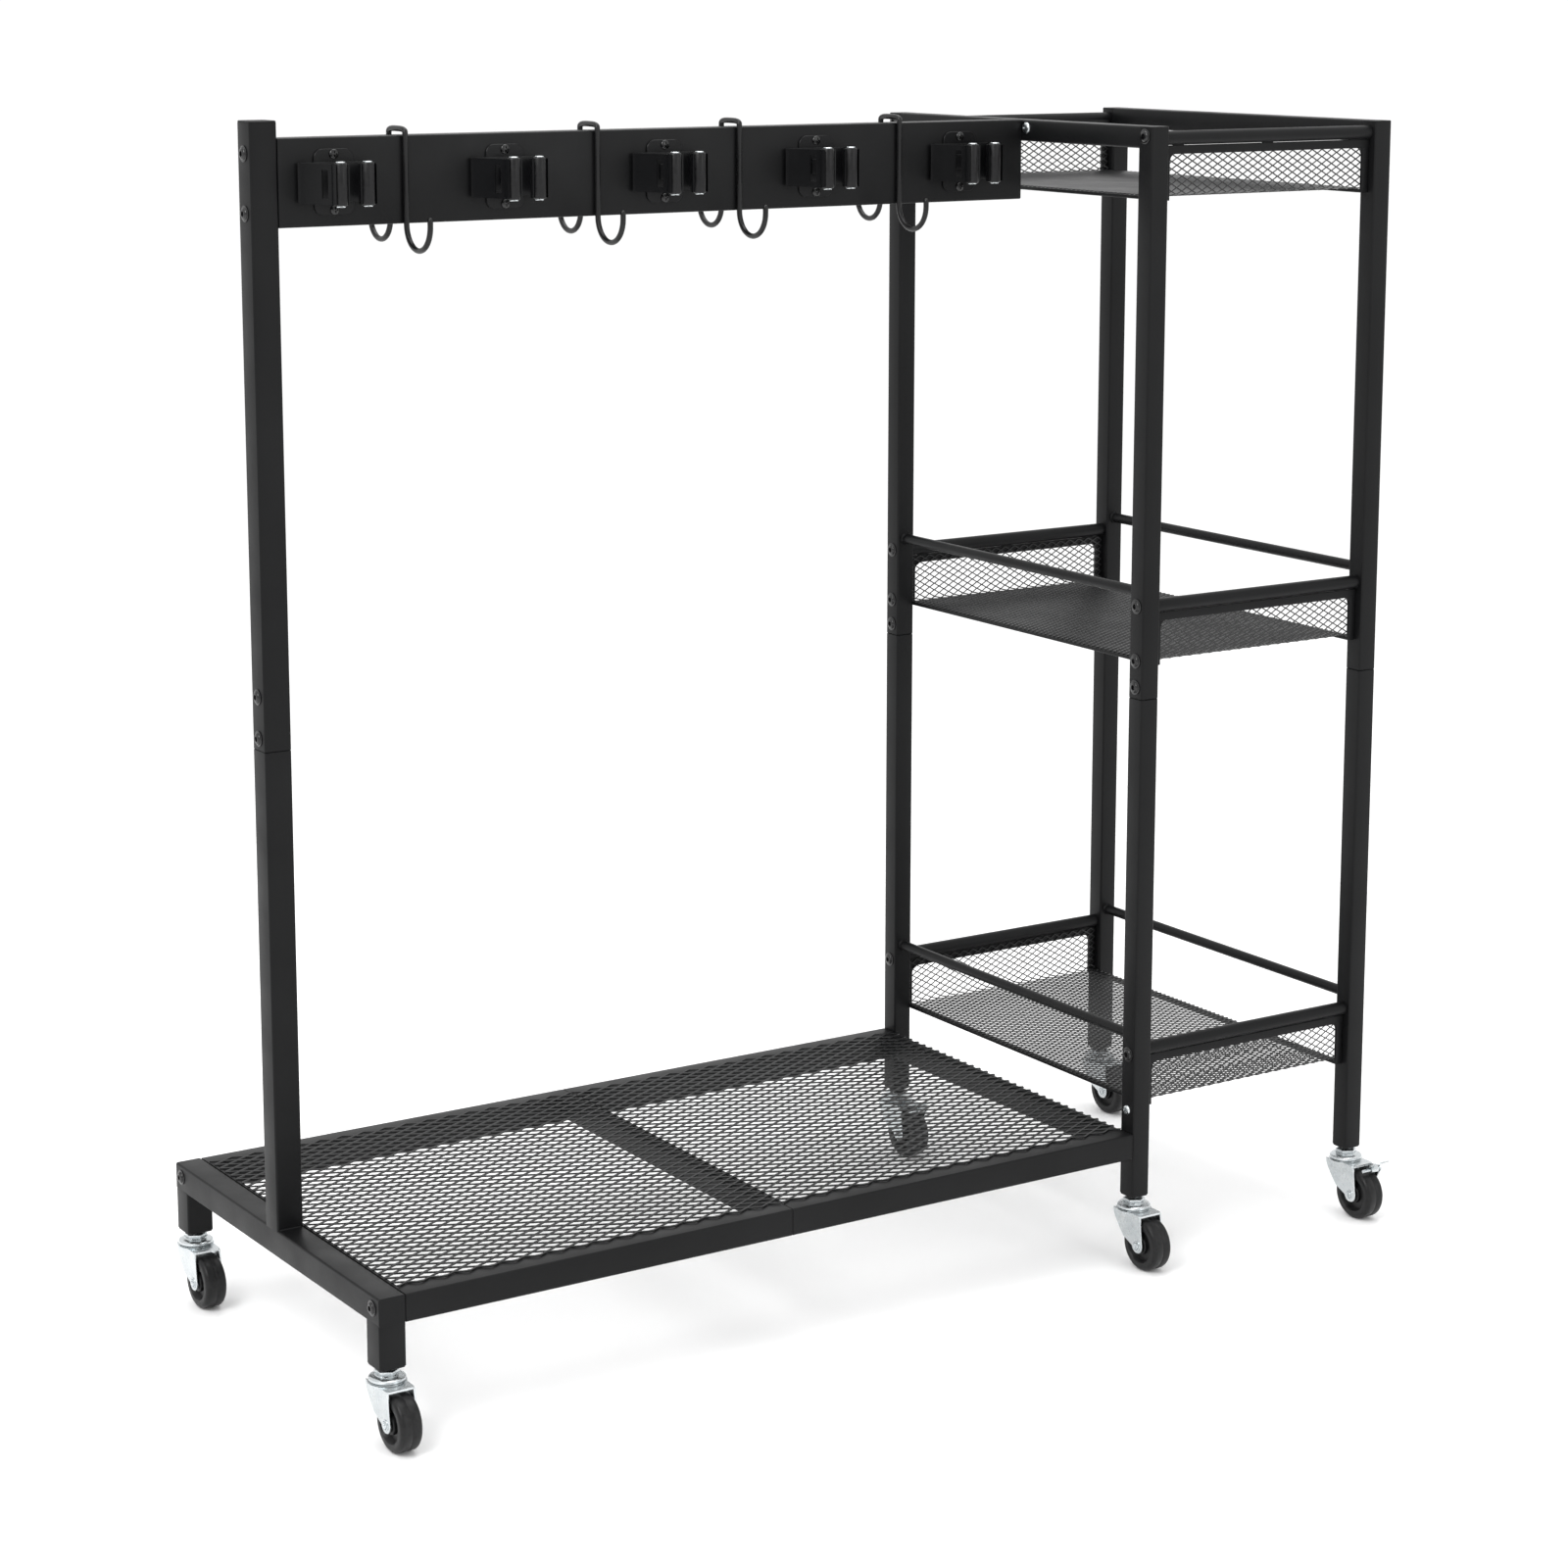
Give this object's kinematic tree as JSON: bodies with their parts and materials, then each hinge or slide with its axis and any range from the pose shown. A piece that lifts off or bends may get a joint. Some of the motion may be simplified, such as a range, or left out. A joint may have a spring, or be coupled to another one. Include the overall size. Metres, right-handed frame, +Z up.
{
  "type": "rolling tool organizer rack",
  "caption": "Rolling rack for garden and garage tools: a mesh deck, an overhead rail with roller clips and wire hooks, and a tower of mesh baskets on casters.",
  "frame": {"origin": "on the floor, at the centre of the bounding box in plan", "axes": "+X from the post end to the basket tower, +Y from front to back, +Z up"},
  "size_m": [1.1016, 0.471, 1.1],
  "materials": {
    "black_powder_coat": "satin",
    "zinc_plate": "bright zinc plate",
    "black_wheel_plastic": "satin moulded",
    "black_wire_coat": "smooth dip coat",
    "black_clip_steel": "satin"
  },
  "bodies": {
    "frame": {"left_end_frame": "black_powder_coat", "left_post_upper": "black_powder_coat", "tool_rail": "black_powder_coat", "base_frame_left": "black_powder_coat", "base_frame_right": "black_powder_coat", "base_mesh_left": "black_powder_coat", "base_mesh_right": "black_powder_coat", "ladder_left_upper": "black_powder_coat", "ladder_left_lower": "black_powder_coat", "ladder_right_upper": "black_powder_coat", "ladder_right_lower": "black_powder_coat", "basket_frame_bottom": "black_powder_coat", "basket_mesh_bottom": "black_powder_coat", "basket_frame_middle": "black_powder_coat", "basket_mesh_middle": "black_powder_coat", "basket_frame_top": "black_powder_coat", "basket_mesh_top": "black_powder_coat", "caster_stem_front_left": "zinc_plate", "caster_stem_back_left": "zinc_plate", "caster_stem_front_middle": "zinc_plate", "caster_stem_back_middle": "zinc_plate", "caster_stem_front_right": "zinc_plate", "caster_stem_back_right": "zinc_plate", "clip_base_1": "black_clip_steel", "clip_base_2": "black_clip_steel", "clip_base_3": "black_clip_steel", "clip_base_4": "black_clip_steel", "clip_base_5": "black_clip_steel"},
    "fork_front_left": {"caster_fork_front_left": "zinc_plate"},
    "wheel_front_left": {"caster_wheel_front_left": "black_wheel_plastic"},
    "fork_back_left": {"caster_fork_back_left": "zinc_plate"},
    "wheel_back_left": {"caster_wheel_back_left": "black_wheel_plastic"},
    "fork_front_middle": {"caster_fork_front_middle": "zinc_plate"},
    "wheel_front_middle": {"caster_wheel_front_middle": "black_wheel_plastic"},
    "fork_back_middle": {"caster_fork_back_middle": "zinc_plate"},
    "wheel_back_middle": {"caster_wheel_back_middle": "black_wheel_plastic"},
    "fork_front_right": {"caster_fork_front_right": "zinc_plate"},
    "wheel_front_right": {"caster_wheel_front_right": "black_wheel_plastic"},
    "fork_back_right": {"caster_fork_back_right": "zinc_plate"},
    "wheel_back_right": {"caster_wheel_back_right": "black_wheel_plastic"},
    "pedal_back_middle": {"brake_pedal_back_middle": "zinc_plate"},
    "pedal_front_right": {"brake_pedal_front_right": "zinc_plate"},
    "jaw_left_1": {"clip_jaw_left_1": "black_clip_steel"},
    "jaw_right_1": {"clip_jaw_right_1": "black_clip_steel"},
    "jaw_left_2": {"clip_jaw_left_2": "black_clip_steel"},
    "jaw_right_2": {"clip_jaw_right_2": "black_clip_steel"},
    "jaw_left_3": {"clip_jaw_left_3": "black_clip_steel"},
    "jaw_right_3": {"clip_jaw_right_3": "black_clip_steel"},
    "jaw_left_4": {"clip_jaw_left_4": "black_clip_steel"},
    "jaw_right_4": {"clip_jaw_right_4": "black_clip_steel"},
    "jaw_left_5": {"clip_jaw_left_5": "black_clip_steel"},
    "jaw_right_5": {"clip_jaw_right_5": "black_clip_steel"},
    "hook_1": {"hook_1": "black_wire_coat"},
    "hook_2": {"hook_2": "black_wire_coat"},
    "hook_3": {"hook_3": "black_wire_coat"},
    "hook_4": {"hook_4": "black_wire_coat"}
  },
  "joints": [
    {"name": "swivel_front_left", "type": "hinge", "parent": "frame", "child": "fork_front_left", "pos_m": [-0.53375, -0.17897, 0.0555], "axis": [0, 0, 1], "continuous": true},
    {"name": "roll_front_left", "type": "hinge", "parent": "fork_front_left", "child": "wheel_front_left", "pos_m": [-0.53375, -0.20097, 0.025], "axis": [1, 0, 0], "continuous": true},
    {"name": "swivel_back_left", "type": "hinge", "parent": "frame", "child": "fork_back_left", "pos_m": [-0.53375, 0.21603, 0.0555], "axis": [0, 0, 1], "continuous": true},
    {"name": "roll_back_left", "type": "hinge", "parent": "fork_back_left", "child": "wheel_back_left", "pos_m": [-0.53375, 0.19403, 0.025], "axis": [1, 0, 0], "continuous": true},
    {"name": "swivel_front_middle", "type": "hinge", "parent": "frame", "child": "fork_front_middle", "pos_m": [0.26375, -0.18147, 0.0555], "axis": [0, 0, 1], "continuous": true},
    {"name": "roll_front_middle", "type": "hinge", "parent": "fork_front_middle", "child": "wheel_front_middle", "pos_m": [0.26375, -0.20347, 0.025], "axis": [1, 0, 0], "continuous": true},
    {"name": "swivel_back_middle", "type": "hinge", "parent": "frame", "child": "fork_back_middle", "pos_m": [0.26375, 0.21853, 0.0555], "axis": [0, 0, 1], "continuous": true},
    {"name": "roll_back_middle", "type": "hinge", "parent": "fork_back_middle", "child": "wheel_back_middle", "pos_m": [0.26375, 0.19653, 0.025], "axis": [1, 0, 0], "continuous": true},
    {"name": "swivel_front_right", "type": "hinge", "parent": "frame", "child": "fork_front_right", "pos_m": [0.53375, -0.18147, 0.0555], "axis": [0, 0, 1], "continuous": true},
    {"name": "roll_front_right", "type": "hinge", "parent": "fork_front_right", "child": "wheel_front_right", "pos_m": [0.53375, -0.20347, 0.025], "axis": [1, 0, 0], "continuous": true},
    {"name": "swivel_back_right", "type": "hinge", "parent": "frame", "child": "fork_back_right", "pos_m": [0.53375, 0.21853, 0.0555], "axis": [0, 0, 1], "continuous": true},
    {"name": "roll_back_right", "type": "hinge", "parent": "fork_back_right", "child": "wheel_back_right", "pos_m": [0.53375, 0.19653, 0.025], "axis": [1, 0, 0], "continuous": true},
    {"name": "brake_back_middle", "type": "hinge", "parent": "fork_back_middle", "child": "pedal_back_middle", "pos_m": [0.26375, 0.18253, 0.052], "axis": [1, 0, 0], "range_deg": [0, 16]},
    {"name": "brake_front_right", "type": "hinge", "parent": "fork_front_right", "child": "pedal_front_right", "pos_m": [0.53375, -0.21747, 0.052], "axis": [1, 0, 0], "range_deg": [0, 16]},
    {"name": "jaw_left_1", "type": "hinge", "parent": "frame", "child": "jaw_left_1", "pos_m": [-0.50425, 0.00363, 1.0475], "axis": [0, 0, -1], "range_deg": [0, 15], "stiffness_Nm_per_rad": 1.5},
    {"name": "jaw_right_1", "type": "hinge", "parent": "frame", "child": "jaw_right_1", "pos_m": [-0.43625, 0.00363, 1.0475], "axis": [0, 0, 1], "range_deg": [0, 15], "stiffness_Nm_per_rad": 1.5},
    {"name": "jaw_left_2", "type": "hinge", "parent": "frame", "child": "jaw_left_2", "pos_m": [-0.34025, 0.00363, 1.0475], "axis": [0, 0, -1], "range_deg": [0, 15], "stiffness_Nm_per_rad": 1.5},
    {"name": "jaw_right_2", "type": "hinge", "parent": "frame", "child": "jaw_right_2", "pos_m": [-0.27225, 0.00363, 1.0475], "axis": [0, 0, 1], "range_deg": [0, 15], "stiffness_Nm_per_rad": 1.5},
    {"name": "jaw_left_3", "type": "hinge", "parent": "frame", "child": "jaw_left_3", "pos_m": [-0.17825, 0.00363, 1.0475], "axis": [0, 0, -1], "range_deg": [0, 15], "stiffness_Nm_per_rad": 1.5},
    {"name": "jaw_right_3", "type": "hinge", "parent": "frame", "child": "jaw_right_3", "pos_m": [-0.11025, 0.00363, 1.0475], "axis": [0, 0, 1], "range_deg": [0, 15], "stiffness_Nm_per_rad": 1.5},
    {"name": "jaw_left_4", "type": "hinge", "parent": "frame", "child": "jaw_left_4", "pos_m": [-0.01625, 0.00363, 1.0475], "axis": [0, 0, -1], "range_deg": [0, 15], "stiffness_Nm_per_rad": 1.5},
    {"name": "jaw_right_4", "type": "hinge", "parent": "frame", "child": "jaw_right_4", "pos_m": [0.05175, 0.00363, 1.0475], "axis": [0, 0, 1], "range_deg": [0, 15], "stiffness_Nm_per_rad": 1.5},
    {"name": "jaw_left_5", "type": "hinge", "parent": "frame", "child": "jaw_left_5", "pos_m": [0.14575, 0.00363, 1.0475], "axis": [0, 0, -1], "range_deg": [0, 15], "stiffness_Nm_per_rad": 1.5},
    {"name": "jaw_right_5", "type": "hinge", "parent": "frame", "child": "jaw_right_5", "pos_m": [0.21375, 0.00363, 1.0475], "axis": [0, 0, 1], "range_deg": [0, 15], "stiffness_Nm_per_rad": 1.5},
    {"name": "hook_slide_1", "type": "slide", "parent": "frame", "child": "hook_1", "axis": [1, 0, 0], "range_m": [-0.025, 0.055]},
    {"name": "hook_slide_2", "type": "slide", "parent": "frame", "child": "hook_2", "axis": [1, 0, 0], "range_m": [-0.05, 0.028]},
    {"name": "hook_slide_3", "type": "slide", "parent": "frame", "child": "hook_3", "axis": [1, 0, 0], "range_m": [-0.036, 0.042]},
    {"name": "hook_slide_4", "type": "slide", "parent": "frame", "child": "hook_4", "axis": [1, 0, 0], "range_m": [-0.05, 0.028]}
  ]
}
